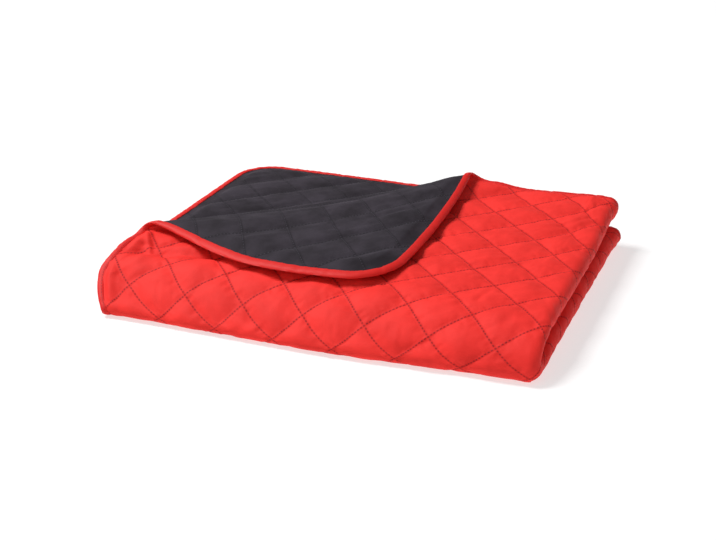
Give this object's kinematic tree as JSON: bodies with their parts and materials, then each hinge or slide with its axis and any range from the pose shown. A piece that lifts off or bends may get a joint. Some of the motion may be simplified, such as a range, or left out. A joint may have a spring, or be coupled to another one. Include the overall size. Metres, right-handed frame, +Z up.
{
  "type": "quilted bedspread",
  "caption": "Quilted bedspread folded in half twice, red with a black lining and a bound edge, one top corner turned back.",
  "frame": {"origin": "middle of the footprint on the surface it lies on", "axes": "+X along the front fold towards the side fold, +Y from the front fold to the free back edges, +Z up"},
  "size_m": [0.6572, 0.543, 0.0999],
  "materials": {
    "face": "matt brushed microfibre, bright red",
    "lining": "matt plain weave, black",
    "binding": "slightly shiny woven tape, red"
  },
  "bodies": {
    "root": {"face": "face", "lining": "lining", "binding": "binding"}
  },
  "joints": []
}
